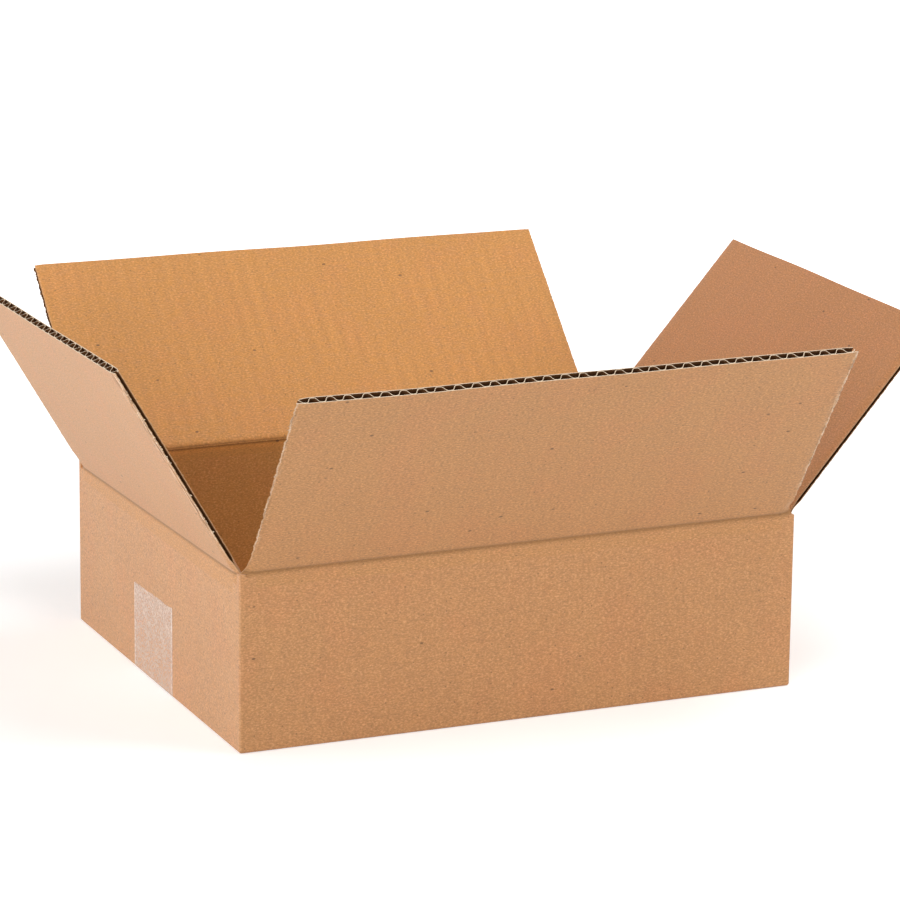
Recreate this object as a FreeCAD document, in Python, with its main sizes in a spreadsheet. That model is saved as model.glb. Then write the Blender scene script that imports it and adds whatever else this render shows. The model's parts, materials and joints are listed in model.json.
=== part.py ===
import FreeCAD, Part
import Sketcher
import os

# Shallow corrugated shipping box, taped underneath, with its four top flaps standing open.
# Millimetres, +Z up. The origin is at the centre of the underside, X runs along the long
# front wall, and the front is towards -Y.

doc = FreeCAD.newDocument("shipping_box")
sheet = doc.addObject("Spreadsheet::Sheet", "Sizes")

SIZES = [
    ("box_length", 254.0, "outside, end wall to end wall"),
    ("box_width", 203.2, "outside, front wall to back wall"),
    ("end_fold_height", 74.9, "fold axis of the two end flaps above the floor"),
    ("board", 3.3, "thickness of the corrugated board"),
    ("liner", 0.35, "facing paper on each side of the flutes"),
    ("medium", 0.25, "fluted paper between the liners"),
    ("flute_pitch", 7.82, "one full wave of the flutes"),
    ("flute_crown", 1.2, "width of a flute where it is glued to a liner"),
    ("crushed_root", 6.0, "length beside a fold where the flutes are pressed shut"),
    ("fold_gap", 0.3, "clearance between a flap and the board that it turns on"),
    ("side_gap", 0.4, "clearance beside each side of a flap"),
    ("seam_gap", 0.6, "gap between two long flaps that meet"),
    ("drop_angle", 30.0, "how far below level an open flap can hang"),
    ("long_flap_inset", 3.2, "long flaps' sides, in from the end walls' outer faces"),
    ("joint_trim", 8.3, "cut off the right flap's back side, beside the glued joint"),
    ("corner_radius", 1.2, "outside of the upright corners"),
    ("edge_radius", 1.2, "outside of the bottom folds"),
    ("glue_tab_width", 32.0, "joint of the blank, inside the back wall"),
    ("glue_tab_slant", 5.0, "taper at each end of the glue tab"),
    ("glue_tab_inset", 4.4, "glue tab's ends, from the bottom flaps and from the top fold"),
    ("tape_width", 48.0, "clear tape along the bottom seam"),
    ("tape_film", 0.15, "thickness of the tape with its glue"),
    ("tape_rise", 38.0, "how far the tape comes up each end wall"),
    ("tape_slack", 0.25, "recess beside each edge of the tape"),
    ("tape_offset", 3.0, "tape's middle, back from the middle of the box"),
    ("open_flute_depth", 12.0, "how deep the flutes are cut in the bottom flaps' edges"),
    ("front_lean_angle", 33.6, "front flap, outward from upright"),
    ("back_lean_angle", 46.0, "back flap, outward from upright"),
    ("left_lean_angle", 30.3, "left flap, outward from upright"),
    ("right_lean_angle", 40.9, "right flap, outward from upright"),
]

for row, (alias, number, note) in enumerate(SIZES, start=1):
    sheet.set(f"A{row}", str(number))
    sheet.setAlias(f"A{row}", alias)
    sheet.set(f"B{row}", note)
doc.recompute()

# Two places closer than this are the same place
TOUCH = 0.01

# Half sizes, measured from the middle of the box
HALF_LENGTH = "Sizes.box_length / 2"
HALF_WIDTH = "Sizes.box_width / 2"
INNER_HALF_LENGTH = "(Sizes.box_length / 2 - Sizes.board)"
INNER_HALF_WIDTH = "(Sizes.box_width / 2 - Sizes.board)"

# The long flaps fold one board above the end flaps, so that the closed flaps stack
LONG_FOLD_HEIGHT = "(Sizes.end_fold_height + Sizes.board + Sizes.fold_gap)"
SEAT_DROP = "(Sizes.board / 2 + Sizes.fold_gap)"
WALL_TOP = f"({LONG_FOLD_HEIGHT} - {SEAT_DROP})"

# All four flaps are cut from the blank along one line; the long ones meet in the middle
LONG_FLAP_REACH = "((Sizes.box_width - Sizes.board - Sizes.seam_gap) / 2)"
END_FLAP_REACH = f"({LONG_FLAP_REACH} + Sizes.board + Sizes.fold_gap)"
LONG_FLAP_SPAN = "(Sizes.box_length - 2 * Sizes.long_flap_inset)"
LONG_BOTTOM_SPAN = "(Sizes.box_length - 2 * Sizes.board - 2 * Sizes.side_gap)"
END_FLAP_SPAN = "(Sizes.box_width - 2 * Sizes.board - 2 * Sizes.side_gap)"
RIGHT_FLAP_SPAN = f"({END_FLAP_SPAN} - Sizes.joint_trim)"


def value(expression):
    """The number that an expression over the sheet gives."""
    result = sheet.evalExpression(expression)
    return float(getattr(result, "Value", result))


def new_body(name):
    body = doc.addObject("PartDesign::Body", name)
    body.Label = name
    return body


def new_sketch(body, name, plane, offset=None):
    """A sketch on one of the body's own origin planes, moved along the plane's normal."""
    sketch = body.newObject("Sketcher::SketchObject", name)
    support = [part for part in body.Origin.OriginFeatures if part.Role == plane][0]
    sketch.AttachmentSupport = [(support, "")]
    sketch.MapMode = "FlatFace"
    if offset is not None:
        sketch.setExpression("AttachmentOffset.Base.z", offset)
    return sketch


def dimension(sketch, kind, vertex, expression):
    """Ties one coordinate of a vertex to an expression, measured from the sketch origin."""
    amount = value(expression)
    origin = (-1, 1)
    ends = origin + vertex if amount >= 0 else vertex + origin
    number = sketch.addConstraint(Sketcher.Constraint(kind, *ends, abs(amount)))
    bound = expression if amount >= 0 else f"-({expression})"
    sketch.setExpression(f"Constraints[{number}]", bound)


def add_outline(sketch, corners):
    """A closed outline of straight lines through corners given as pairs of expressions."""
    points = [FreeCAD.Vector(value(x), value(y), 0) for x, y in corners]
    count = len(points)
    first = sketch.GeometryCount
    for index in range(count):
        line = Part.LineSegment(points[index], points[(index + 1) % count])
        sketch.addGeometry(line, False)
    for index in range(count):
        following = first + (index + 1) % count
        sketch.addConstraint(Sketcher.Constraint("Coincident", first + index, 2, following, 1))
    for index, (x, y) in enumerate(corners):
        vertex = (first + index, 1)
        for kind, expression in (("DistanceX", x), ("DistanceY", y)):
            if abs(value(expression)) < TOUCH:
                axis = -2 if kind == "DistanceX" else -1
                sketch.addConstraint(Sketcher.Constraint("PointOnObject", *vertex, axis))
            else:
                dimension(sketch, kind, vertex, expression)


def add_rectangle(sketch, left, right, low, high):
    add_outline(sketch, [(left, low), (right, low), (right, high), (left, high)])


def volume(body):
    return body.Shape.Volume if not body.Shape.isNull() else 0.0


def add_feature(body, kind, sketch, length, midplane=False, reverse=False):
    """A pad or a pocket of a sketch, checked to have added or removed material."""
    before = volume(body)
    feature = body.newObject(f"PartDesign::{kind}", f"{sketch.Name}_{kind.lower()}")
    feature.Profile = sketch
    feature.SideType = "Symmetric" if midplane else "One side"
    feature.Reversed = reverse
    feature.setExpression("Length", length)
    doc.recompute()
    change = volume(body) - before
    wanted = change > 0 if kind == "Pad" else change < 0
    if not wanted:
        raise RuntimeError(f"{feature.Name} changed the volume by {change:.3f}")
    return feature


def add_fillet(body, name, base, chosen, radius):
    """Rounds the edges of the base feature for which the test holds."""
    edges = [f"Edge{number}" for number, edge in enumerate(base.Shape.Edges, start=1) if chosen(edge)]
    fillet = body.newObject("PartDesign::Fillet", name)
    fillet.Base = (base, edges)
    fillet.setExpression("Radius", radius)
    doc.recompute()
    return fillet


def seat_corners(side, half_size, fold_height):
    """The cut in a wall's top, seen from the side, that a flap turns in.

    Its floor lies one fold gap under the flap, and outwards it slopes down to let the open
    flap hang below level.
    """
    axis = f"({half_size} - Sizes.board / 2)"
    beyond = f"{side} * ({half_size} + Sizes.board)"
    inward = f"{side} * ({half_size} - 2 * Sizes.board)"
    bend = f"{side} * ({axis} - {SEAT_DROP} * tan(Sizes.drop_angle / 2 * 1 deg))"
    floor = f"({fold_height} - {SEAT_DROP})"
    run = "(1.5 * Sizes.board)"
    slope_end = (
        f"({fold_height} - ({SEAT_DROP} + {run} * sin(Sizes.drop_angle * 1 deg))"
        f" / cos(Sizes.drop_angle * 1 deg))"
    )
    above = f"({WALL_TOP} + Sizes.board)"
    return [(beyond, slope_end), (bend, floor), (inward, floor), (inward, above), (beyond, above)]


def make_box_body():
    """The folded blank: four walls, the closed bottom flaps and the glued joint."""
    body = new_body("box_body")

    walls = new_sketch(body, "walls", "XY_Plane")
    add_rectangle(walls, f"-{HALF_LENGTH}", HALF_LENGTH, f"-{HALF_WIDTH}", HALF_WIDTH)
    inner_length = INNER_HALF_LENGTH
    inner_width = INNER_HALF_WIDTH
    add_rectangle(walls, f"-{inner_length}", inner_length, f"-{inner_width}", inner_width)
    ring = add_feature(body, "Pad", walls, WALL_TOP)

    def is_upright(edge):
        middle = edge.CenterOfMass
        at_end = abs(middle.x) > value(HALF_LENGTH) - TOUCH
        at_side = abs(middle.y) > value(HALF_WIDTH) - TOUCH
        return at_end and at_side and abs(middle.z - value(WALL_TOP) / 2) < TOUCH

    corners = add_fillet(body, "upright_corners", ring, is_upright, "Sizes.corner_radius")

    def is_bottom_fold(edge):
        middle = edge.CenterOfMass
        at_end = abs(middle.x) > value(inner_length) + TOUCH
        at_side = abs(middle.y) > value(inner_width) + TOUCH
        return (at_end or at_side) and abs(middle.z) < TOUCH

    add_fillet(body, "bottom_folds", corners, is_bottom_fold, "Sizes.edge_radius")

    long_bottom_flaps = new_sketch(body, "long_bottom_flaps", "XY_Plane")
    add_rectangle(long_bottom_flaps, f"-{inner_length}", inner_length, f"-{inner_width}", inner_width)
    add_feature(body, "Pad", long_bottom_flaps, "Sizes.board")

    end_bottom_flaps = new_sketch(body, "end_bottom_flaps", "XY_Plane")
    flap_tip = f"({HALF_LENGTH} - Sizes.board / 2 - {END_FLAP_REACH})"
    flap_side = f"({END_FLAP_SPAN} / 2)"
    add_rectangle(end_bottom_flaps, f"-{inner_length}", f"-{flap_tip}", f"-{flap_side}", flap_side)
    add_rectangle(end_bottom_flaps, flap_tip, inner_length, f"-{flap_side}", flap_side)
    add_feature(body, "Pad", end_bottom_flaps, "2 * Sizes.board")

    # The flutes show at the end flaps' edges, which lie on top inside the box
    for name, place, reverse in (("left", f"-{flap_tip}", False), ("right", flap_tip, True)):
        cells = new_sketch(body, f"{name}_bottom_flutes", "YZ_Plane", place)
        cells.setExpression("AttachmentOffset.Base.y", "1.5 * Sizes.board")
        cut_flutes(body, cells, END_FLAP_SPAN, 0.25, "Sizes.open_flute_depth", reverse)

    glue_tab = new_sketch(body, "glue_tab", "XZ_Plane", f"-{inner_width}")
    tab_end = f"({inner_length} - Sizes.glue_tab_width)"
    tab_low = "(2 * Sizes.board + Sizes.glue_tab_inset)"
    tab_high = f"(Sizes.end_fold_height - {SEAT_DROP} - Sizes.glue_tab_inset)"
    add_outline(glue_tab, [
        (inner_length, tab_low),
        (inner_length, tab_high),
        (tab_end, f"({tab_high} - Sizes.glue_tab_slant)"),
        (tab_end, f"({tab_low} + Sizes.glue_tab_slant)"),
    ])
    add_feature(body, "Pad", glue_tab, "Sizes.board")

    long_seats = new_sketch(body, "long_seats", "YZ_Plane")
    for side in (-1, 1):
        add_outline(long_seats, seat_corners(side, HALF_WIDTH, LONG_FOLD_HEIGHT))
    add_feature(body, "Pocket", long_seats, f"({LONG_FLAP_SPAN} + 2 * Sizes.side_gap)", midplane=True)

    end_seats = new_sketch(body, "end_seats", "XZ_Plane")
    for side in (-1, 1):
        add_outline(end_seats, seat_corners(side, HALF_LENGTH, "Sizes.end_fold_height"))
    add_feature(body, "Pocket", end_seats, f"2 * {INNER_HALF_WIDTH}", midplane=True)

    # Underneath, the two long flaps meet in a seam and stop short of the end walls
    bottom_slots = new_sketch(body, "bottom_slots", "XY_Plane")
    seam = "(Sizes.seam_gap / 2)"
    slot = f"({LONG_BOTTOM_SPAN} / 2)"
    add_outline(bottom_slots, [
        (f"-{inner_length}", f"-{inner_width}"),
        (f"-{slot}", f"-{inner_width}"),
        (f"-{slot}", f"-{seam}"),
        (slot, f"-{seam}"),
        (slot, f"-{inner_width}"),
        (inner_length, f"-{inner_width}"),
        (inner_length, inner_width),
        (slot, inner_width),
        (slot, seam),
        (f"-{slot}", seam),
        (f"-{slot}", inner_width),
        (f"-{inner_length}", inner_width),
    ])
    add_feature(body, "Pocket", bottom_slots, "Sizes.board", reverse=True)

    # The tape is pressed into the board under the box, so that the box stands flat
    tape_seat = new_sketch(body, "tape_seat", "XZ_Plane", "-Sizes.tape_offset")
    add_outline(tape_seat, tape_corners())
    seat_width = "Sizes.tape_width + 2 * Sizes.tape_slack"
    add_feature(body, "Pocket", tape_seat, seat_width, midplane=True)
    return body


def tape_corners():
    """The tape from the side: under the whole box and up both end walls."""
    outside = f"({HALF_LENGTH} + Sizes.tape_film)"
    inside = f"({HALF_LENGTH})"
    return [
        (f"-{outside}", "Sizes.tape_rise"),
        (f"-{outside}", "0"),
        (outside, "0"),
        (outside, "Sizes.tape_rise"),
        (inside, "Sizes.tape_rise"),
        (inside, "Sizes.tape_film"),
        (f"-{inside}", "Sizes.tape_film"),
        (f"-{inside}", "Sizes.tape_rise"),
    ]


def make_bottom_tape():
    """Clear tape over the bottom seam, bent up at both ends."""
    body = new_body("bottom_tape")
    strip = new_sketch(body, "strip", "XZ_Plane", "-Sizes.tape_offset")
    add_outline(strip, tape_corners())
    pad = add_feature(body, "Pad", strip, "Sizes.tape_width", midplane=True)
    inner_bend = "Sizes.edge_radius * 0.5"

    def crosses_tape(edge, height):
        middle = edge.CenterOfMass
        centred = abs(middle.y - value("Sizes.tape_offset")) < TOUCH
        return centred and abs(middle.x) > TOUCH and abs(middle.z - height) < TOUCH

    def is_inner_bend(edge):
        return crosses_tape(edge, value("Sizes.tape_film"))

    def is_outer_bend(edge):
        return crosses_tape(edge, 0)

    inner = add_fillet(body, "inner_bends", pad, is_inner_bend, inner_bend)
    add_fillet(body, "outer_bends", inner, is_outer_bend, f"{inner_bend} + Sizes.tape_film")
    return body


def flute_corners(side):
    """One hollow of the board seen on its cut edge: wide at one liner, narrow at the other."""
    inner_face = "(Sizes.board / 2 - Sizes.liner)"
    centre = f"({side} * Sizes.flute_pitch / 4)"
    wide = "((Sizes.flute_pitch - Sizes.flute_crown) / 2 - Sizes.medium)"
    narrow = "(Sizes.flute_crown / 2)"
    base = f"({side} * {inner_face})"
    tip = f"({-side} * ({inner_face} - Sizes.medium))"
    return [
        (f"({centre} - {wide})", base),
        (f"({centre} + {wide})", base),
        (f"({centre} + {narrow})", tip),
        (f"({centre} - {narrow})", tip),
    ]


def cut_flutes(body, cells, span, cut_phase, depth, reverse=False):
    """Cuts the hollows along a board's edge, from a sketch on the edge's middle line.

    cut_phase sets where in a wave the board was cut at its side.
    """
    start = f"(-{span} / 2 + {cut_phase} * Sizes.flute_pitch)"
    cells.setExpression("AttachmentOffset.Base.x", start)
    for side in (-1, 1):
        add_outline(cells, flute_corners(side))
    pocket = add_feature(body, "Pocket", cells, depth, reverse=reverse)

    row = body.newObject("PartDesign::LinearPattern", f"{cells.Name}_row")
    row.Originals = [pocket]
    row.Direction = (cells, ["H_Axis"])
    waves = f"floor(({span} - {cut_phase} * Sizes.flute_pitch) / Sizes.flute_pitch)"
    row.setExpression("Length", f"{waves} * Sizes.flute_pitch")
    row.setExpression("Occurrences", f"{waves} + 1")
    body.Tip = row
    doc.recompute()


def make_flap(name, span, reach, cut_phase):
    """A flap of fluted board, upright on its fold axis, which is the body's own X axis.

    Two liners with the wavy medium between them are one solid. The flutes run from the free
    edge down to the crushed strip beside the fold.
    """
    body = new_body(name)
    half = "(Sizes.board / 2)"

    sheet_side = new_sketch(body, f"{name}_side", "YZ_Plane")
    add_rectangle(sheet_side, f"-{half}", half, "0", reach)
    add_feature(body, "Pad", sheet_side, span, midplane=True)

    # The fold is round about its axis, so the flap can turn on the wall
    fold = new_sketch(body, f"{name}_fold", "YZ_Plane")
    add_round_fold(fold, half)
    add_feature(body, "Pad", fold, span, midplane=True)

    cells = new_sketch(body, f"{name}_flutes", "XY_Plane", reach)
    cut_flutes(body, cells, span, cut_phase, f"{reach} - Sizes.crushed_root")
    return body


def add_round_fold(sketch, radius):
    """A full circle about the fold axis."""
    circle = Part.Circle(FreeCAD.Vector(0, 0, 0), FreeCAD.Vector(0, 0, 1), value(radius))
    sketch.addGeometry(circle, False)
    sketch.addConstraint(Sketcher.Constraint("Coincident", 0, 3, -1, 1))
    number = sketch.addConstraint(Sketcher.Constraint("Radius", 0, value(radius)))
    sketch.setExpression(f"Constraints[{number}]", radius)


def stand_flap(body, turn, lean, across, along, height):
    """Turns a flap to its wall, leans it outward and sets it on its fold axis."""
    place = (
        f"placement(vector({across}; {along}; {height});"
        f" rotation({turn}; 0; {lean}))"
    )
    body.setExpression("Placement", place)


box_body = make_box_body()
bottom_tape = make_bottom_tape()

front_flap = make_flap("front_flap", LONG_FLAP_SPAN, LONG_FLAP_REACH, 0.10)
back_flap = make_flap("back_flap", LONG_FLAP_SPAN, LONG_FLAP_REACH, 0.35)
left_flap = make_flap("left_flap", END_FLAP_SPAN, END_FLAP_REACH, 0.20)
right_flap = make_flap("right_flap", RIGHT_FLAP_SPAN, END_FLAP_REACH, 0.15)

LONG_AXIS_PLACE = f"({HALF_WIDTH} - Sizes.board / 2)"
END_AXIS_PLACE = f"({HALF_LENGTH} - Sizes.board / 2)"
END_HEIGHT = "Sizes.end_fold_height"
TRIMMED_MIDDLE = "(-Sizes.joint_trim / 2)"
stand_flap(front_flap, 0, "Sizes.front_lean_angle", 0, f"-{LONG_AXIS_PLACE}", LONG_FOLD_HEIGHT)
stand_flap(back_flap, 180, "Sizes.back_lean_angle", 0, LONG_AXIS_PLACE, LONG_FOLD_HEIGHT)
stand_flap(left_flap, -90, "Sizes.left_lean_angle", f"-{END_AXIS_PLACE}", 0, END_HEIGHT)
stand_flap(right_flap, 90, "Sizes.right_lean_angle", END_AXIS_PLACE, TRIMMED_MIDDLE, END_HEIGHT)
doc.recompute()

pieces = [box_body, bottom_tape, front_flap, back_flap, left_flap, right_flap]

for item in doc.Objects:
    if "Invalid" in item.State or "Error" in item.State:
        raise RuntimeError(f"{item.Name} failed: {item.State}")
for piece in pieces:
    if piece.Shape.isNull() or not piece.Shape.isValid():
        raise RuntimeError(f"{piece.Label} has no valid shape")
    if len(piece.Shape.Solids) != 1:
        raise RuntimeError(f"{piece.Label} is {len(piece.Shape.Solids)} solids")

os.makedirs("parts", exist_ok=True)
for piece in pieces:
    piece.Shape.exportStep(os.path.join("parts", f"{piece.Label}.step"))
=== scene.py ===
import json
import math

import bpy
import numpy as np
from mathutils import Matrix, Vector


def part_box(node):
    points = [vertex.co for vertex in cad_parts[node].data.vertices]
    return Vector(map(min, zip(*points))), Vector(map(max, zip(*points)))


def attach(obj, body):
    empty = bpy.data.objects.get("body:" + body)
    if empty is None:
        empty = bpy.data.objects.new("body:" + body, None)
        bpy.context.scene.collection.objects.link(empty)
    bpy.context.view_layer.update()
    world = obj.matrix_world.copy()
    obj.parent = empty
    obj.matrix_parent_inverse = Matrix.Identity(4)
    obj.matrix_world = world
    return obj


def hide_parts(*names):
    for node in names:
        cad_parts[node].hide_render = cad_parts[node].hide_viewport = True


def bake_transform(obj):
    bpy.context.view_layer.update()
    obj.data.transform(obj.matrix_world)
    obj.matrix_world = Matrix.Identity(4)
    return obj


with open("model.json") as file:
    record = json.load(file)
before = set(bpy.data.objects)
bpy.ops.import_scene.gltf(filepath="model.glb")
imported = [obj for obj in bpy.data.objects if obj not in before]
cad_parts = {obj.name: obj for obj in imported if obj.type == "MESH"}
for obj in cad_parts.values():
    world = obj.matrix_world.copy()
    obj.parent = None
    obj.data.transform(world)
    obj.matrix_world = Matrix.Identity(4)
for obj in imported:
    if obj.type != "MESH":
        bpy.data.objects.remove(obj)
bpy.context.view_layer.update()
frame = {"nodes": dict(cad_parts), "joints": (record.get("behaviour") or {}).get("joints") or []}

# Paper and board, in metres
BOARD = 0.0033
LINER = 0.0003
MEDIUM = 0.0003
FLUTE_PITCH = 0.00782

# The box's outside, and how far short of a wall's end a flap's foot stops
HALF_LENGTH = 0.1270
HALF_WIDTH = 0.1016
CORNER = 0.0013
# Below this height the box's faces belong to its underside
UNDERSIDE = 0.0025

# How far the flap's paper runs down the wall below its fold, and how far it stands off it
WALL_OVERLAP = 0.0080
SKIN = 0.00002
# The half length of the bend at a fold, and the most that a flap's foot widens there
BEND = 0.0014
MOST_FLARE = 0.0025
# How much thinner a flap's sides are pressed right at the fold, and how far in
FOLD_CRUSH = 0.80
CRUSH_WIDTH = 0.0022

# The tape: how thick it is, how it bends, and the saw teeth and slant of its torn ends
TAPE_THICKNESS = 0.00005
TAPE_BEND = 0.0012
TAPE_TOOTH = 0.0017
TAPE_TOOTH_DEPTH = 0.0012
TAPE_SLANT = 0.0012

# Each flap as it stands. Pairs go from its left to its right, seen from outside.
# out and lean: the side that it leans to, and how far in degrees
# phase: where in a wave its board was cut; seed: of its tears
# crease_lift, tip_lift: how far its crease and its tip sit above the plain shape
# tip_spread: how much wider it is at its tip
# crease shade tone and width: how dark and how wide the painted shade is along its outer and its
# inner crease
# torn, crush: how rough its sides are, and how much thinner they are pressed
# peel: how far in its outer paper has come away in strands
# slant: how far the inner liner is cut back; pale: how pale the torn paper is
FLAPS = {
    "front_flap": {
        "out": (0, -1, 0), "lean": 33.6, "phase": 0.10, "seed": 11,
        "crease_lift": (-0.0010, -0.0003), "tip_lift": (-0.0001, 0.0002),
        "crease_shade_tone": (0.60, 0.40), "crease_shade_width": (0.0015, 0.0009),
        "crush": (0.30, 0.16), "peel": (0.0012, 0.0012),
        "torn": (0.00034, 0.00030), "slant": (0.0017, 0.0012), "pale": (0.45, 0.50),
        "tip_spread": (0.0, 0.0010),
    },
    "back_flap": {
        "out": (0, 1, 0), "lean": 46.0, "phase": 0.35, "seed": 23,
        "crease_lift": (-0.0015, -0.0015), "tip_lift": (-0.0007, 0.0004),
        "crease_shade_tone": (0.50, 0.90), "crease_shade_width": (0.0010, 0.0008),
        "crush": (0.16, 0.25), "peel": (0.0010, 0.0010),
        "torn": (0.00020, 0.00025), "slant": (0.0, 0.0), "pale": (0.30, 0.30),
        "tip_spread": (0.0, 0.0),
    },
    "left_flap": {
        "out": (-1, 0, 0), "lean": 30.3, "phase": 0.20, "seed": 37,
        "crease_lift": (-0.0018, 0.0013), "tip_lift": (-0.0028, 0.0006),
        "crease_shade_tone": (0.66, 0.40), "crease_shade_width": (0.0010, 0.0009),
        "crush": (0.16, 0.40), "peel": (0.0010, 0.0042),
        "torn": (0.00025, 0.00050), "slant": (0.0, 0.0004), "pale": (0.60, 0.80),
        "tip_spread": (0.0, 0.0),
    },
    "right_flap": {
        "out": (1, 0, 0), "lean": 40.9, "phase": 0.15, "seed": 41,
        "crease_lift": (0.0008, 0.0008), "tip_lift": (0.0010, 0.0006),
        "crease_shade_tone": (0.45, 0.40), "crease_shade_width": (0.0010, 0.0009),
        "crush": (0.52, 0.16), "peel": (0.0020, 0.0010),
        "torn": (0.00014, 0.00020), "slant": (0.0004, 0.0), "pale": (0.20, 0.25),
        "tip_spread": (0.0, 0.0),
    },
}

# The board's half thickness beside a fold: (distance along the board, half thickness)
OUTER_PROFILE = (
    (-0.0080, BOARD / 2 + SKIN),
    (-0.0018, BOARD / 2 + SKIN),
    (-0.0006, 0.00142),
    (0.0, 0.00125),
    (0.0008, 0.00142),
    (0.0024, 0.00160),
    (0.0050, BOARD / 2),
    (0.1200, BOARD / 2),
)
INNER_PROFILE = (
    (-0.0080, BOARD / 2 + SKIN),
    (-0.0003, BOARD / 2 + SKIN),
    (0.0008, 0.00158),
    (0.0026, 0.00160),
    (0.0060, BOARD / 2),
    (0.1200, BOARD / 2),
)
# The two liners: their side (1 is outside), their profile, and where the painted shade along
# their crease is darkest
LINERS = ((1, OUTER_PROFILE, -0.0002), (-1, INNER_PROFILE, -0.0011))

# The slots of a flap's materials, and of the tape's
OUTSIDE, INSIDE, FLUTES, CUT, FRAYED = range(5)
FILM, GLUE = range(2)

# The paper's colours by where it is
WALL_KRAFT = (0.545, 0.265, 0.100)
# The end walls' paper, made paler and rosier as painted sheen
END_WALL_KRAFT_AND_SHEEN = (0.545, 0.274, 0.115)
OUTSIDE_KRAFT = (0.545, 0.264, 0.094)
# The inner paper on the back flap, made brighter as painted light
BACK_INSIDE_KRAFT_LIT = (0.600, 0.260, 0.050)
# The inner paper on the end flaps, made darker as painted shade
END_INSIDE_KRAFT_SHADED = (0.490, 0.202, 0.062)
# The inner paper inside the box, made darker as painted shade
TRAY_KRAFT_SHADED = (0.486, 0.230, 0.055)
FLUTE_KRAFT = (0.150, 0.062, 0.021)
CUT_KRAFT = (0.830, 0.660, 0.480)
FRAYED_KRAFT = (0.560, 0.340, 0.180)
# Painted shade, laid along the creases in place of the shadow in the fold
CREASE_SHADE = (0.180, 0.075, 0.005)
BLUSH = (0.680, 0.220, 0.090)

# The tape and the floor
FILM_TINTS = ((0.96, 0.84, 0.75), (0.99, 0.90, 0.83))
GLUE_TINTS = ((0.80, 0.72, 0.68), (0.90, 0.82, 0.78))
FLOOR_TINT = (0.90, 0.90, 0.90)
FLOOR_HALF = 6.0

# The camera, fitted to the photograph's edges: its place, angles in degrees and lens
CAMERA_PLACE = (-0.73258, -1.70314, 0.58014)
CAMERA_YAW = 23.55
CAMERA_PITCH = 14.74
CAMERA_ROLL = 0.69
CAMERA_LENS = 175.71
SENSOR = 36.0

# The floor's own glow near the box, and the light from all round
FLOOR_GLOW = 0.45
WORLD_LIGHT = 0.25
# Each softbox: its name, place, size and power, and where they all aim
SOFTBOXES = (
    ("left_light", (-1.7, 0.4, 0.45), 1.4, 15.8),
    ("left_front_light", (-1.5, -1.5, 0.7), 1.4, 18.4),
    ("right_front_light", (1.0, -0.9, 0.75), 0.6, 5.2),
    ("top_light", (0.5, -0.2, 1.8), 1.0, 13.8),
)
LIGHT_TARGET = (0, 0, 0.08)


def put_in_scene(name, data):
    made = bpy.data.objects.new(name, data)
    bpy.context.scene.collection.objects.link(made)
    return made


class Nodes:
    """A node tree, built from short calls."""

    def __init__(self, tree):
        self.tree = tree

    def put(self, socket, value):
        """Sets a socket to a number or colour, or links it to another socket."""
        if isinstance(value, bpy.types.NodeSocket):
            self.tree.links.new(value, socket)
        else:
            socket.default_value = value

    def node(self, kind, inputs=None, **settings):
        made = self.tree.nodes.new(kind)
        for key, setting in settings.items():
            setattr(made, key, setting)
        for key, value in (inputs or {}).items():
            self.put(made.inputs[key], value)
        return made

    def math(self, operation, first, second=0.0):
        return self.node("ShaderNodeMath", {0: first, 1: second}, operation=operation).outputs[0]

    def vector_math(self, operation, inputs):
        return self.node("ShaderNodeVectorMath", inputs, operation=operation).outputs

    def seen_as_background(self):
        """1 to the camera, in a gloss and through glass, and 0 to all other light."""
        rays = self.node("ShaderNodeLightPath").outputs
        seen = self.math("MAXIMUM", rays["Is Camera Ray"], rays["Is Glossy Ray"])
        return self.math("MAXIMUM", seen, rays["Is Transmission Ray"])


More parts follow.
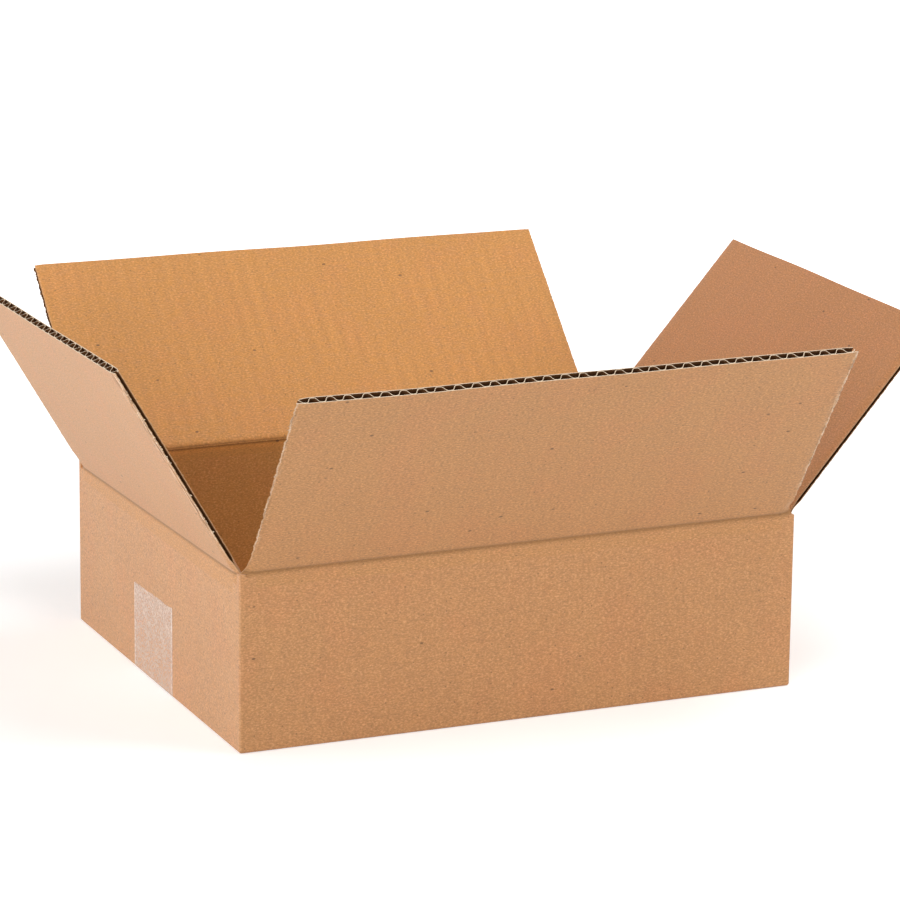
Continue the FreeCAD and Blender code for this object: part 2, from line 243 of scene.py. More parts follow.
class Shading(Nodes):
    """One material's node tree, with its shader."""

    def __init__(self, name):
        self.material = bpy.data.materials.new(name)
        self.material.use_nodes = True
        super().__init__(self.material.node_tree)
        self.tree.nodes.clear()
        self.shader = self.node("ShaderNodeBsdfPrincipled")
        self.node("ShaderNodeOutputMaterial", {"Surface": self.shader.outputs[0]})

    def shade(self, inputs):
        """Sets or links the shader's own sockets."""
        for key, value in inputs.items():
            self.put(self.shader.inputs[key], value)

    def coordinates(self, kind):
        return self.node("ShaderNodeTexCoord").outputs[kind]

    def axes(self, place):
        return self.node("ShaderNodeSeparateXYZ", {"Vector": place}).outputs

    def mark(self, name):
        """A value that SheetMesh keeps at each point."""
        return self.node("ShaderNodeAttribute", attribute_name=name).outputs["Fac"]

    def noise(self, place, scale, detail, roughness=0.5, distortion=0.0):
        inputs = {
            "Vector": place,
            "Scale": scale,
            "Detail": detail,
            "Roughness": roughness,
            "Distortion": distortion,
        }
        return self.node("ShaderNodeTexNoise", inputs).outputs["Fac"]

    def stretched(self, place, amounts):
        """The place with each axis scaled, so that a pattern on it is drawn out."""
        return self.vector_math("MULTIPLY", {0: place, 1: amounts})[0]

    def remap(self, value, low, high, to_low=0.0, to_high=1.0):
        """Runs smoothly from to_low to to_high as the value goes from low to high."""
        inputs = {
            "Value": value,
            "From Min": low,
            "From Max": high,
            "To Min": to_low,
            "To Max": to_high,
        }
        made = self.node("ShaderNodeMapRange", inputs, interpolation_type="SMOOTHSTEP")
        return made.outputs["Result"]

    def mix(self, factor, first, second):
        made = self.node("ShaderNodeMix", data_type="RGBA")
        colour_sockets = [socket for socket in made.inputs if socket.type == "RGBA"]
        self.put(made.inputs[0], factor)
        for socket, colour in zip(colour_sockets, (first, second)):
            self.put(socket, (*colour, 1.0) if isinstance(colour, tuple) else colour)
        return [socket for socket in made.outputs if socket.type == "RGBA"][0]

    def tone(self, colour, amount):
        """The colour made lighter or darker by a factor that varies over the surface."""
        return self.vector_math("SCALE", {0: colour, "Scale": amount})[0]

    def bump(self, height, distance, strength, after=None):
        inputs = {"Height": height, "Distance": distance, "Strength": strength}
        if after is not None:
            inputs["Normal"] = after
        return self.node("ShaderNodeBump", inputs).outputs[0]

    def flecks(self, place, scale, share, radius, darkness):
        """Small round spots in some cells of a random pattern, from 0 to their darkness."""
        inputs = {"Vector": place, "Scale": scale}
        cells = self.node("ShaderNodeTexVoronoi", inputs, feature="F1").outputs
        spot = self.remap(cells["Distance"], radius * 0.5, radius, 1.0, 0.0)
        dice = self.node("ShaderNodeSeparateColor", {"Color": cells["Color"]}).outputs[0]
        chosen = self.math("MULTIPLY", spot, self.math("LESS_THAN", dice, share))
        return self.math("MULTIPLY", chosen, darkness)


def wall_sides(paper, place):
    """On the folded box: the distance across its flutes, 1 on its end walls, and 1 inside it."""
    axes = paper.axes(place)
    facing_x = paper.axes(paper.coordinates("Normal"))["X"]
    on_end = paper.math("GREATER_THAN", paper.math("ABSOLUTE", facing_x), 0.5)
    along_y = paper.math("MULTIPLY", axes["Y"], on_end)
    along_x = paper.math("MULTIPLY", axes["X"], paper.math("SUBTRACT", 1.0, on_end))
    along = paper.math("ADD", along_x, along_y)
    inside = paper.math("GREATER_THAN", axes["Z"], UNDERSIDE)
    for axis, half in (("X", HALF_LENGTH), ("Y", HALF_WIDTH)):
        distance = paper.math("ABSOLUTE", axes[axis])
        within = paper.math("LESS_THAN", distance, half - BOARD / 2)
        inside = paper.math("MULTIPLY", inside, within)
    return along, on_end, inside


def pale_fibres(paper, place, fibrous):
    """How much paler the paper is in thin broken lines."""
    ridge = paper.noise(fibrous, 520.0, 3.0, 0.55, 1.2)
    from_ridge = paper.math("ABSOLUTE", paper.math("SUBTRACT", ridge, 0.5))
    fibre = paper.remap(from_ridge, 0.0, 0.016, 1.0, 0.0)
    broken = paper.remap(paper.noise(place, 240.0, 2.0), 0.50, 0.62)
    return paper.math("MULTIPLY", paper.math("MULTIPLY", fibre, broken), 0.10)


def folded_and_torn(paper, place, colour):
    """A flap's colour: painted shade in its crease and in its inner paper below the fold, and
    pale or in strands along its torn sides.
    """
    # Below the fold the inner paper fades to the box's darker inside colour: painted shade
    colour = paper.mix(paper.mark("below"), colour, TRAY_KRAFT_SHADED)
    # Painted shade along the crease
    colour = paper.mix(paper.mark("crease"), colour, CREASE_SHADE)
    reach = paper.math("MULTIPLY", paper.noise(place, 700.0, 3.0), 0.0014)
    from_tear = paper.math("SUBTRACT", paper.mark("inset"), reach)
    torn = paper.remap(from_tear, -0.0004, 0.0001, 1.0, 0.0)
    layers = paper.noise(paper.stretched(place, (1.0, 0.14, 1.0)), 900.0, 3.0, 0.6)
    peeled = paper.mark("peeled")
    flakes = paper.math("MULTIPLY", paper.remap(layers, 0.48, 0.42), peeled)
    cracks = paper.math("MULTIPLY", paper.remap(layers, 0.52, 0.57), peeled)
    pale = paper.mark("pale")
    for part, bared in ((torn, CUT_KRAFT), (flakes, CUT_KRAFT), (cracks, FLUTE_KRAFT)):
        colour = paper.mix(paper.math("MULTIPLY", part, pale), colour, bared)
    return colour


def kraft_paper(name, colour, banding, on_board=True):
    """Unbleached liner: mottled tan, with fibres, flecks and a trace of the flutes under it."""
    paper = Shading(name)
    if on_board:
        place = paper.coordinates("UV")
        along = paper.axes(place)["X"]
        fibrous = paper.stretched(place, (0.55, 1.0, 1.0))
        contrast = 1.0
    else:
        place = paper.coordinates("Object")
        along, on_end, inside = wall_sides(paper, place)
        # The end walls get a paler tone as painted sheen, and the inside of the box a darker
        # tone as painted shade
        colour = paper.mix(inside, paper.mix(on_end, colour, END_WALL_KRAFT_AND_SHEEN), TRAY_KRAFT_SHADED)
        fibrous = paper.stretched(place, (0.55, 0.55, 1.0))
        contrast = 0.90

    clouds = paper.noise(place, 26.0, 3.0)
    mottle = paper.noise(fibrous, 420.0, 4.0, 0.65)
    grain = paper.noise(fibrous, 1500.0, 2.0, 0.7)
    streaks = paper.noise(paper.stretched(place, (1.0, 0.12, 0.12)), 300.0, 2.0)
    wave = paper.math("COSINE", paper.math("MULTIPLY", along, 2 * math.pi / FLUTE_PITCH))
    flute_trace = paper.math("MULTIPLY", wave, paper.remap(clouds, 0.35, 0.65))

    tone = paper.math("ADD", 1.0, paper.math("MULTIPLY", flute_trace, banding))
    for part, weight in ((clouds, 0.10), (mottle, 0.28), (grain, 1.25), (streaks, 0.12)):
        centred = paper.math("SUBTRACT", part, 0.5)
        tone = paper.math("ADD", tone, paper.math("MULTIPLY", centred, weight * contrast))
    tone = paper.math("ADD", tone, pale_fibres(paper, place, fibrous))
    specks = paper.flecks(place, 480.0, 0.12, 0.22, 0.40)
    chips = paper.flecks(fibrous, 150.0, 0.32, 0.095, 0.62)
    dark = paper.math("MAXIMUM", specks, chips)
    tone = paper.math("MULTIPLY", tone, paper.math("SUBTRACT", 1.0, dark))

    blush = paper.remap(paper.noise(place, 38.0, 3.0), 0.46, 0.64, 0.0, 0.09)
    colour = paper.mix(blush, colour, BLUSH)
    colour = paper.mix(paper.remap(grain, 0.50, 0.72, 0.0, 0.09), colour, CUT_KRAFT)
    if on_board:
        colour = folded_and_torn(paper, place, colour)

    relief = paper.math("ADD", mottle, paper.math("MULTIPLY", grain, 0.6))
    fine = paper.bump(relief, 0.00012, 0.6)
    ribbed = paper.bump(flute_trace, 0.000012, 0.6, after=fine)
    paper.shade({
        "Base Color": paper.tone(colour, tone),
        "Normal": paper.bump(clouds, 0.0004, 0.5, after=ribbed),
        "Roughness": paper.remap(mottle, 0.3, 0.7, 0.58, 0.70),
        "Specular IOR Level": 0.6,
        "Sheen Weight": 0.20,
        "Sheen Roughness": 0.5,
    })
    return paper.material


def cut_paper(name, colour, contrast):
    """Paper inside the board or on its cut edge, with broken fibres."""
    paper = Shading(name)
    place = paper.coordinates("Object")
    strands = paper.noise(place, 2600.0, 3.0)
    tufts = paper.noise(place, 500.0, 2.0)
    tone = paper.math("ADD", 1.0 - contrast, paper.math("MULTIPLY", strands, contrast))
    tone = paper.math("ADD", tone, paper.math("MULTIPLY", tufts, contrast))
    paper.shade({
        "Base Color": paper.tone(colour, tone),
        "Normal": paper.bump(strands, 0.0001, 0.7),
        "Roughness": 0.9,
        "Specular IOR Level": 0.2,
    })
    return paper.material


def clear_film(name):
    """Packing tape: a thin glossy film, milky where air is caught and along its two edges."""
    film = Shading(name)
    flat = film.coordinates("UV")
    bubbles = film.noise(flat, 850.0, 3.0, 0.6, 0.4)
    patches = film.noise(flat, 150.0, 2.0)
    fine_haze = film.math("MULTIPLY", bubbles, 0.75)
    haze = film.math("ADD", fine_haze, film.math("MULTIPLY", patches, 0.25))
    height = film.axes(film.coordinates("Object"))["Z"]
    cloudy = film.remap(haze, 0.41, 0.59, 0.15, 0.44)
    cloudy = film.math("ADD", cloudy, film.remap(height, 0.012, 0.036, 0.0, 0.10))
    edge = film.remap(film.mark("inset"), 0.0003, 0.0018, 0.30, 0.0)
    film.shade({
        "Alpha": film.math("ADD", cloudy, edge),
        "Base Color": film.mix(patches, *FILM_TINTS),
        "Normal": film.bump(bubbles, 0.00006, 0.5),
        "Roughness": 0.30,
        "Specular IOR Level": 0.5,
    })
    return film.material


def clear_glue(name):
    """The tape's sticky side: all but clear, with a trace of cloud."""
    glue = Shading(name)
    cloud = glue.noise(glue.coordinates("UV"), 200.0, 2.0)
    glue.shade({
        "Alpha": glue.remap(cloud, 0.3, 0.7, 0.01, 0.04),
        "Base Color": glue.mix(cloud, *GLUE_TINTS),
        "Roughness": 0.5,
    })
    return glue.material


def ease(share):
    """0 to 1, starting and ending gently."""
    share = np.clip(share, 0, 1)
    return share * share * (3 - 2 * share)


def smooth_profile(profile, distances):
    """Half thickness at each distance, easing from one named place to the next."""
    places = np.array([place for place, _ in profile])
    halves = np.array([half for _, half in profile])
    index = np.clip(np.searchsorted(places, distances) - 1, 0, len(places) - 2)
    share = ease((distances - places[index]) / (places[index + 1] - places[index]))
    return halves[index] + (halves[index + 1] - halves[index]) * share


def fold_line(distances, lean):
    """The board's middle, seen from the side: up the wall, round the fold and up the flap.

    Returns places and outward normals as (outward, up) pairs, from the fold axis.
    """
    tip = np.array([math.sin(lean), math.cos(lean)])
    foot = np.array([0.0, 1.0])
    share = np.clip((distances + BEND) / (2 * BEND), 0, 1)[:, None]
    places = -((1 - share) ** 2) * BEND * foot + share**2 * BEND * tip
    below = np.minimum(distances + BEND, 0)[:, None] * foot
    beyond = np.maximum(distances - BEND, 0)[:, None] * tip
    direction = (1 - share) * foot + share * tip
    direction = direction / np.linalg.norm(direction, axis=1)[:, None]
    normals = np.stack([direction[:, 1], -direction[:, 0]], axis=1)
    return places + below + beyond, normals


def wander(places, seed, sizes):
    """Smooth random offsets along a line: a few sine waves of each size, unevenly phased."""
    dice = np.random.default_rng(seed)
    total = np.zeros_like(places)
    for wavelength, height in sizes:
        for stretch in (0.71, 1.0, 1.43):
            phase = dice.uniform(0, 2 * math.pi)
            total += height / 3 * np.sin(2 * math.pi * places / (wavelength * stretch) + phase)
    return total


class SheetMesh:
    """Collects thin paper solids, each given by its two faces as grids of points."""

    # What is kept at each point for the materials, with its value where a sheet gives none
    MARKS = {"crease": 0.0, "inset": 1.0, "pale": 0.0, "peeled": 0.0, "below": 0.0}

    def __init__(self):
        self.points = []
        self.flats = []
        self.marks = {name: [] for name in self.MARKS}
        self.faces = []
        self.slots = []
        self.count = 0

    def add(self, front, back, flat, slots, **marks):
        """Adds a sheet between two (rows, columns, 3) grids; flat is its place before folding.

        slots are the materials of the front, the back, the two ends and the two sides.
        """
        rows, columns = front.shape[:2]
        index = np.arange(rows * columns).reshape(rows, columns) + self.count
        other = index + rows * columns
        self.points += [front.reshape(-1, 3), back.reshape(-1, 3)]
        self.flats += [flat.reshape(-1, 2)] * 2
        for name, plain in self.MARKS.items():
            mark = np.broadcast_to(marks.get(name, plain), (rows, columns))
            self.marks[name] += [mark.ravel()] * 2
        self.count += 2 * rows * columns

        def quads(grid):
            corners = (grid[:-1, :-1], grid[:-1, 1:], grid[1:, 1:], grid[1:, :-1])
            return np.stack([corner.ravel() for corner in corners], axis=1)

        self.store(quads(index), slots[0])
        self.store(quads(other)[:, ::-1], slots[1])
        for near, far, slot in (
            (index[0, ::-1], other[0, ::-1], slots[2]),
            (index[-1], other[-1], slots[2]),
            (index[:, 0], other[:, 0], slots[3]),
            (index[::-1, -1], other[::-1, -1], slots[3]),
        ):
            self.store(np.stack([near[:-1], near[1:], far[1:], far[:-1]], axis=1), slot)

    def store(self, quads, slot):
        self.faces.append(quads)
        self.slots.append(np.full(len(quads), slot))

    def build(self, name, materials):
        points = np.concatenate(self.points)
        faces = np.concatenate(self.faces)
        mesh = bpy.data.meshes.new(name)
        mesh.vertices.add(len(points))
        mesh.vertices.foreach_set("co", points.astype(np.float32).ravel())
        mesh.loops.add(faces.size)
        mesh.loops.foreach_set("vertex_index", faces.ravel().astype(np.int32))
        mesh.polygons.add(len(faces))
        starts = np.arange(0, faces.size, 4, dtype=np.int32)
        mesh.polygons.foreach_set("loop_start", starts)
        slots = np.concatenate(self.slots).astype(np.int32)
        mesh.polygons.foreach_set("material_index", slots)
        flats = np.concatenate(self.flats)[faces.ravel()].astype(np.float32)
        mesh.uv_layers.new(name="flat_sheet").uv.foreach_set("vector", flats.ravel())
        for key, marks in self.marks.items():
            layer = mesh.attributes.new(key, "FLOAT", "POINT")
            layer.data.foreach_set("value", np.concatenate(marks).astype(np.float32))
        for material in materials:
            mesh.materials.append(material)
        mesh.update(calc_edges=True)
        mesh.polygons.foreach_set("use_smooth", np.ones(len(faces), dtype=bool))
        mesh.set_sharp_from_angle(angle=math.radians(40))
        return put_in_scene(name, mesh)


class Board:
    """A flap of single-wall board with its fold, as a surface over the flat board.

    A place on the board is its distance along the fold and its distance up from the fold.
    A side of the board is -1 on the left and 1 on the right, seen from outside. A layer is
    1 for the outer liner, 0 for the flutes and -1 for the inner liner.
    """

    def __init__(self, flap, style, joint):
        self.style = style
        self.lean = math.radians(style["lean"])
        self.out = Vector(style["out"])
        self.along = Vector((0, 0, 1)).cross(self.out).normalized()
        self.axis = Vector(joint["pos_m"])
        low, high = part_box(flap)
        self.span = abs((high - low).dot(self.along))
        middle = ((low + high) / 2 - self.axis).dot(self.along)
        self.origin = self.axis + middle * self.along
        rise = high.z - self.axis.z - BOARD / 2 * math.sin(self.lean)
        self.reach = rise / math.cos(self.lean)
        wall_half = HALF_LENGTH if abs(self.along.x) > 0.5 else HALF_WIDTH
        self.flares = [
            min(wall_half - CORNER - (self.span / 2 + side * middle), MOST_FLARE)
            for side in (-1, 1)
        ]

    def at_side(self, key, side):
        """A pair of the style's values at one side."""
        return self.style[key][0 if side < 0 else 1]

    def by_side(self, key, columns):
        """A pair of the style's values, each held over its half of the columns."""
        return np.where(columns < 0, *self.style[key])

    def across(self, key, columns):
        """A pair of the style's values, running evenly from side to side."""
        left, right = self.style[key]
        share = (columns / self.span + 0.5)[None, :]
        return left * (1 - share) + right * share

    def rows(self):
        """Distances up the board for the rows of points: close together at the fold."""
        wall = np.linspace(-WALL_OVERLAP, -0.0040, 5)
        fold = np.linspace(-0.0037, 0.0065, 35)
        flap = np.linspace(0.0072, self.reach, 140)
        return np.concatenate([wall, fold, flap])

    def columns(self):
        """Distances along the fold for the columns of points: close together at both sides."""
        edge = np.array([0.0, 0.0003, 0.0007, 0.0013, 0.0022, 0.0036, 0.0055])
        middle = np.linspace(edge[-1] + 0.0030, self.span / 2, 14)
        half = np.concatenate([edge, middle])
        return np.concatenate([half - self.span / 2, (self.span / 2 - half)[::-1][1:]])

    def lift(self, rows, columns):
        """How far the board sits above its plain shape: a low or high crease, and a warp."""
        crease = self.across("crease_lift", columns)
        tip = self.across("tip_lift", columns)
        up = np.clip(rows / self.reach, 0, 1)[:, None]
        on_wall = ease((rows + 0.0070) / 0.0060)[:, None]
        warp = wander(columns, self.style["seed"] + 5, ((0.12, 0.00025),))[None, :] * up
        on_flap = crease * (1 - up) + tip * up
        return np.where(rows[:, None] < 0, crease * on_wall, on_flap) + warp

    def widen(self, rows, columns):
        """The places of the columns in each row, out to the corner of the wall at the fold."""
        spread = np.broadcast_to(columns, (len(rows), len(columns))).copy()
        fade = 1 - np.clip((rows + 0.0004) / 0.0046, 0, 1)
        up = np.clip(rows / self.reach, 0, 1)
        for side, flare, tip in zip((-1, 1), self.flares, self.style["tip_spread"]):
            near_side = np.clip(1 - (self.span / 2 - side * columns) / 0.0080, 0, 1)
            wider = (flare * fade**2 + tip * up)[:, None]
            spread += side * wider * (near_side**2)[None, :]
        return spread

    def surface(self, rows, columns, offset):
        """Points that lie offset from the board's middle, as a grid over rows and columns."""
        places, normals = fold_line(rows, self.lean)
        profile = places[:, None, :] + normals[:, None, :] * offset[:, :, None]
        profile = profile + self.lift(rows, columns)[:, :, None] * np.array([0.0, 1.0])
        local = np.concatenate([self.widen(rows, columns)[:, :, None], profile], axis=2)
        return local @ np.array([self.along, self.out, (0, 0, 1)]) + np.array(self.origin)

    def cut_back(self, columns, layer):
        """The columns drawn in at the two sides: the cut slants in toward the inner liner."""
        drawn = columns.copy()
        for side, slant in zip((-1, 1), self.style["slant"]):
            inset = self.span / 2 - side * columns
            depth = slant * (1 - layer) / 2
            drawn -= side * depth * np.clip(1 - inset / 0.03, 0, 1)
        return drawn

    def side_crush(self, rows, columns):
        """How much of its thickness the board keeps near its two cut sides."""
        inset = self.span / 2 - np.abs(columns)
        crush = self.by_side("crush", columns)[None, :]
        at_fold = (ease((rows + 0.0030) / 0.0030) * ease((0.0090 - rows) / 0.0050))[:, None]
        crush = crush + (FOLD_CRUSH - crush) * at_fold
        return 1 - crush * np.exp(-((inset / CRUSH_WIDTH) ** 2))[None, :]

    def tear(self, rows, layer, side):
        """How far a liner's side edge sticks out or is torn back, less for the inner one."""
        rough = self.at_side("torn", side) * (1.0 if layer > 0 else 0.45)
        sizes = ((0.0017, rough), (0.0046, rough), (0.017, rough * 0.8))
        seed = self.style["seed"] * 7 + 3 * layer + side
        return wander(rows, seed, sizes) * np.clip((rows - 0.004) / 0.01, 0, 1)


def add_liners(board, sheets):
    """The outer and the inner paper, from the wall over the fold to the free edge."""
    rows = board.rows()
    full_columns = board.columns()
    inset = board.span / 2 - np.abs(full_columns)
    above_fold = np.clip((rows - 0.006) / 0.014, 0, 1)[:, None]
    pale = above_fold * board.by_side("pale", full_columns)[None, :]
    peel = inset / board.by_side("peel", full_columns)
    peeled = above_fold * np.exp(-(peel**2))[None, :]
    # How far the inner paper below the fold has faded to the box's darker inside colour, as
    # painted shade
    below = 0.9 * ease((-0.0008 - rows) / 0.0060)[:, None]
    tones, widths = board.style["crease_shade_tone"], board.style["crease_shade_width"]
    for (layer, profile, crease_shade_place), tone, width in zip(LINERS, tones, widths):
        columns = board.cut_back(full_columns, layer)
        half = smooth_profile(profile, rows)[:, None] * board.side_crush(rows, full_columns)
        face = board.surface(rows, columns, layer * half)
        under = board.surface(rows, columns, layer * (half - LINER))
        for side in (-1, 1):
            at_edge = np.exp(-((inset / 0.0005) ** 2)) * (np.sign(full_columns) == side)
            pull = board.tear(rows, layer, side)[:, None] * at_edge[None, :]
            pull = pull[:, :, None] * np.array(board.along)
            face += pull
            under += pull
        # The two liners' patterns are taken from places a metre to either side
        flat = np.stack(np.meshgrid(columns + layer, rows), axis=2)
        # Painted shade along the crease, darkest at its place and fading over its width
        crease = tone * np.exp(-(((rows - crease_shade_place) / width) ** 2))[:, None]
        marks = {"crease": crease, "inset": inset}
        if layer > 0:
            marks.update(pale=pale, peeled=peeled)
            sheets.add(face, under, flat, (OUTSIDE, FLUTES, CUT, FRAYED), **marks)
        else:
            marks.update(pale=0.3 * pale, below=below)
            sheets.add(under, face, flat, (FLUTES, INSIDE, CUT, FRAYED), **marks)


def add_medium(board, sheets):
    """The wavy paper between the liners, from the crushed fold to the free edge."""
    points_per_flute = 16
    squareness = 1.9
    half = board.span / 2
    count = int(board.span / FLUTE_PITCH * points_per_flute)
    columns = np.linspace(-half + 0.0003, half - 0.0003, count)
    fold = np.linspace(-0.001, 0.010, 8)
    rows = np.concatenate([fold, np.linspace(0.012, board.reach - 0.0001, 12)])
    swing = 2 * math.pi * ((columns + half) / FLUTE_PITCH - board.style["phase"])
    swing = swing + wander(columns, board.style["seed"], ((0.05, 0.40), (0.013, 0.18)))
    wave = np.tanh(squareness * np.sin(swing)) / math.tanh(squareness)
    outer = smooth_profile(OUTER_PROFILE, rows)[:, None]
    inner = smooth_profile(INNER_PROFILE, rows)[:, None]
    room = np.where(wave > 0, outer, inner) * board.side_crush(rows, columns)
    room = room - LINER - MEDIUM / 2
    middle = wave[None, :] * room
    slope = np.gradient(wave, columns)[None, :] * room
    thick = MEDIUM / 2 * np.sqrt(1 + np.minimum(slope**2, 3.0))
    drawn = board.cut_back(columns, 0)
    front = board.surface(rows, drawn, middle + thick)
    back = board.surface(rows, drawn, middle - thick)
    flat = np.stack(np.meshgrid(columns, rows), axis=2)
    sheets.add(front, back, flat, (FLUTES, FLUTES, CUT, FLUTES))


def add_fray(board, sheets, dice, layer, profile, side):
    """One small torn bit of paper at a random place along a cut side."""
    along, out, up = np.array(board.along), np.array(board.out), np.array((0, 0, 1))
    place = dice.uniform(0.014, board.reach - 0.001)
    width = dice.uniform(0.0003, 0.0011)
    length = board.at_side("torn", side) * dice.uniform(0.5, 2.0) * (1.0 if layer > 0 else 0.5)
    tilt = dice.uniform(-0.8, 1.1) * layer
    depth = dice.uniform(0.2, 0.9) * LINER
    rows = place + width * np.array([-0.5, 0.0, 0.5])
    column = board.cut_back(np.array([side * (board.span / 2 - 0.0002)]), layer)
    crush = board.side_crush(rows, column)[:, 0]
    offset = layer * (smooth_profile(profile, rows) * crush - depth)[:, None]
    root = board.surface(rows, column, offset)
    root += board.tear(rows, layer, side)[:, None, None] * along
    normal = math.cos(board.lean) * out - math.sin(board.lean) * up
    reach_out = side * math.cos(tilt) * along + math.sin(tilt) * normal
    tip = 0.6 * root + 0.4 * root[1:2] + length * reach_out
    front = np.concatenate([root, tip], axis=1)
    back = front - 0.0001 * normal
    flat = np.full((3, 2, 2), place)
    slot = CUT if layer > 0 and board.at_side("pale", side) > 0.5 else FRAYED
    sheets.add(front, back, flat, (slot, slot, slot, slot))


def add_frays(board, sheets):
    """Small torn bits of paper along the two cut sides."""
    spacing = 0.0026
    dice = np.random.default_rng(board.style["seed"] + 100)
    for side in (-1, 1):
        for layer, profile, _ in LINERS:
            for _ in range(int(board.reach / spacing)):
                add_fray(board, sheets, dice, layer, profile, side)


def make_board(flap, style, joint, materials):
    """A detailed flap in place of the plain one, bending at its fold."""
    board = Board(flap, style, joint)
    sheets = SheetMesh()
    add_liners(board, sheets)
    add_medium(board, sheets)
    add_frays(board, sheets)
    made = sheets.build(f"{flap}_board", materials)
    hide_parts(flap)
    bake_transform(made)


def tape_path(side, level, top):
    """The tape's line from the left end wall, under the box and up the right end wall."""
    turn = np.linspace(0, math.pi / 2, 7)
    x = -side + TAPE_BEND - TAPE_BEND * np.cos(turn)
    z = level + TAPE_BEND - TAPE_BEND * np.sin(turn)
    left = np.stack([x, z], axis=1)
    right = left[::-1] * np.array([-1, 1])
    return np.concatenate([[(-side, top)], left, right, [(side, top)]])


def tape_tear(columns, seed):
    """How much shorter the tape is at each column, where it was torn off on a toothed blade."""
    across = columns - columns[0]
    teeth = np.abs((across / TAPE_TOOTH) % 1 - 0.5) * TAPE_TOOTH_DEPTH
    teeth += TAPE_SLANT * across / across[-1]
    return np.maximum(teeth + wander(columns, seed, ((0.03, 0.0002), (0.008, 0.0002))), 0)


def make_tape(materials):
    """Clear tape along the bottom seam, bent up both end walls, with its ends torn off."""
    low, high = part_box("bottom_tape")
    path = tape_path(high.x - 0.00003, low.z + 0.00002, high.z + 0.0020)
    steps = np.linalg.norm(np.diff(path, axis=0), axis=1)
    travelled = np.concatenate([[0], np.cumsum(steps)])
    total = travelled[-1]
    wall = np.linspace(0, travelled[1], 60)
    under = np.linspace(travelled[7], travelled[8], 50)
    rows = np.unique(np.concatenate([wall, travelled, under, total - wall]))
    columns = np.linspace(low.y, high.y, 121)
    inset = np.minimum(columns - low.y, high.y - columns)
    run = np.broadcast_to(rows[:, None], (len(rows), len(columns))).copy()
    for seed, distance, way in ((5, rows, 1), (6, total - rows, -1)):
        near_end = np.clip(1 - distance / 0.006, 0, 1)[:, None]
        run += way * near_end * tape_tear(columns, seed)[None, :]
    grids = []
    for thickness in (0.0, TAPE_THICKNESS):
        x = np.interp(run, travelled, path[:, 0])
        z = np.interp(run, travelled, path[:, 1])
        on_wall = np.clip(np.abs(x) - (high.x - TAPE_BEND), 0, None) / TAPE_BEND
        on_wall = np.minimum(on_wall, 1)
        x = x - np.sign(x) * thickness * on_wall
        z = z + thickness * (1 - on_wall)
        grids.append(np.stack([x, np.broadcast_to(columns, x.shape), z], axis=2))
    flat = np.stack([np.broadcast_to(columns, run.shape), run], axis=2)
    tape = SheetMesh()
    tape.add(grids[1], grids[0], flat, (GLUE, FILM, FILM, FILM), inset=inset)
    made = tape.build("clear_tape", materials)
    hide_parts("bottom_tape")
    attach(made, "body")


def make_floor():
    """A pale floor that is white to the camera and still takes the box's shadow."""
    paint = Shading("floor_paint")
    place = paint.coordinates("Object")
    speckle = paint.remap(paint.noise(place, 40.0, 2.0), 0.3, 0.7, 0.985, 1.0)
    away = paint.vector_math("LENGTH", {0: place})["Value"]
    glow = paint.remap(away, 0.22, 0.90, FLOOR_GLOW, 1.0)
    paint.shade({
        "Base Color": paint.tone(FLOOR_TINT, speckle),
        "Roughness": 0.9,
        "Specular IOR Level": 0.1,
        "Emission Color": (1, 1, 1, 1),
        "Emission Strength": paint.math("MULTIPLY", paint.seen_as_background(), glow),
    })
    mesh = bpy.data.meshes.new("floor")
    signs = ((-1, -1), (1, -1), (1, 1), (-1, 1))
    corners = [(x * FLOOR_HALF, y * FLOOR_HALF, 0) for x, y in signs]
    mesh.from_pydata(corners, [], [(0, 1, 2, 3)])
    mesh.materials.append(paint.material)
    floor = put_in_scene("floor", mesh)
    floor.location.z = -0.0001


def make_light(name, place, size, power):
    lamp = bpy.data.lights.new(name, "AREA")
    lamp.size = size
    lamp.energy = power
    made = put_in_scene(name, lamp)
    made.location = place
    aim = Vector(LIGHT_TARGET) - Vector(place)
    made.rotation_euler = aim.to_track_quat("-Z", "Y").to_euler()


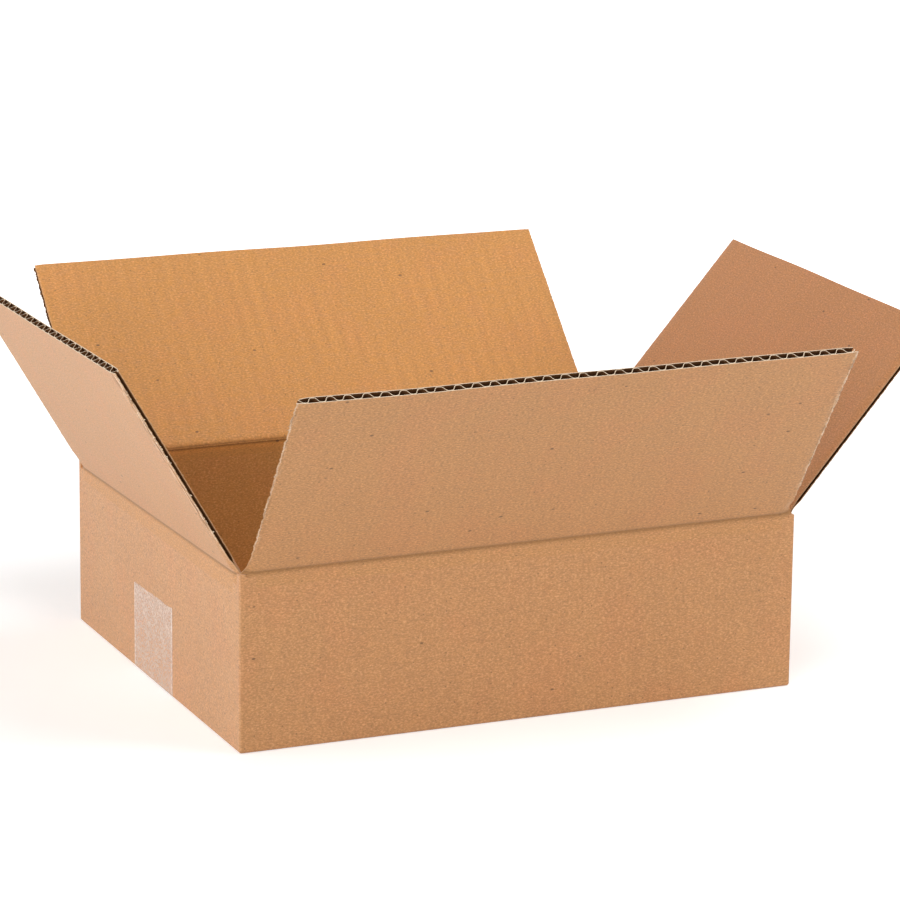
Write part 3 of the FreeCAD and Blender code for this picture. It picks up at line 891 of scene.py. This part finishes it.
def make_world():
    """White where it is seen as the background, and plain soft light all round."""
    world = bpy.data.worlds.new("studio")
    world.use_nodes = True
    nodes = Nodes(world.node_tree)
    background = world.node_tree.nodes["Background"]
    brightness = nodes.math("MAXIMUM", nodes.seen_as_background(), WORLD_LIGHT)
    nodes.put(background.inputs["Color"], (1, 1, 1, 1))
    nodes.put(background.inputs["Strength"], brightness)
    bpy.context.scene.world = world


def make_camera():
    """The camera at the photograph's angle, from its yaw, pitch and roll."""
    yaw, pitch, roll = (math.radians(a) for a in (CAMERA_YAW, CAMERA_PITCH, CAMERA_ROLL))
    level_ahead = math.cos(pitch)
    ahead = Vector((math.sin(yaw) * level_ahead, math.cos(yaw) * level_ahead, -math.sin(pitch)))
    level = Vector((math.cos(yaw), -math.sin(yaw), 0))
    above = level.cross(ahead)
    right = level * math.cos(roll) + above * math.sin(roll)
    up = above * math.cos(roll) - level * math.sin(roll)
    lens = bpy.data.cameras.new("camera")
    lens.lens = CAMERA_LENS
    lens.sensor_width = SENSOR
    lens.clip_start = 0.05
    camera = put_in_scene("camera", lens)
    turned = Matrix((right, up, -ahead)).transposed().to_4x4()
    camera.matrix_world = Matrix.Translation(CAMERA_PLACE) @ turned
    bpy.context.scene.camera = camera


walls_paper = kraft_paper("wall_kraft", WALL_KRAFT, 0.010, on_board=False)
outside_paper = kraft_paper("outside_kraft", OUTSIDE_KRAFT, 0.010)
# The back flap's inner paper is a brighter copy, as painted light
back_inside_lit_paper = kraft_paper("back_inside_kraft_lit", BACK_INSIDE_KRAFT_LIT, 0.046)
# The end flaps' inner paper is a darker copy, as painted shade
end_inside_shaded_paper = kraft_paper("end_inside_kraft_shaded", END_INSIDE_KRAFT_SHADED, 0.012)
flute_paper = cut_paper("flute_kraft", FLUTE_KRAFT, 0.45)
edge_paper = cut_paper("cut_kraft", CUT_KRAFT, 0.40)
torn_paper = cut_paper("frayed_kraft", FRAYED_KRAFT, 0.50)
film = clear_film("tape_film")
glue = clear_glue("tape_glue")

box_body = frame["nodes"]["box_body"]
box_body.data.materials.clear()
box_body.data.materials.append(walls_paper)
joints = {joint["child"]: joint for joint in frame["joints"]}
for flap, style in FLAPS.items():
    # The back flap gets the lit copy of the inner paper and the end flaps the shaded one
    inside_paper = end_inside_shaded_paper if style["out"][0] else back_inside_lit_paper
    papers = [outside_paper, inside_paper, flute_paper, edge_paper, torn_paper]
    make_board(flap, style, joints[flap], papers)
make_tape([film, glue])

make_floor()
make_world()
for softbox in SOFTBOXES:
    make_light(*softbox)
make_camera()

bpy.context.scene.view_settings.view_transform = "Standard"
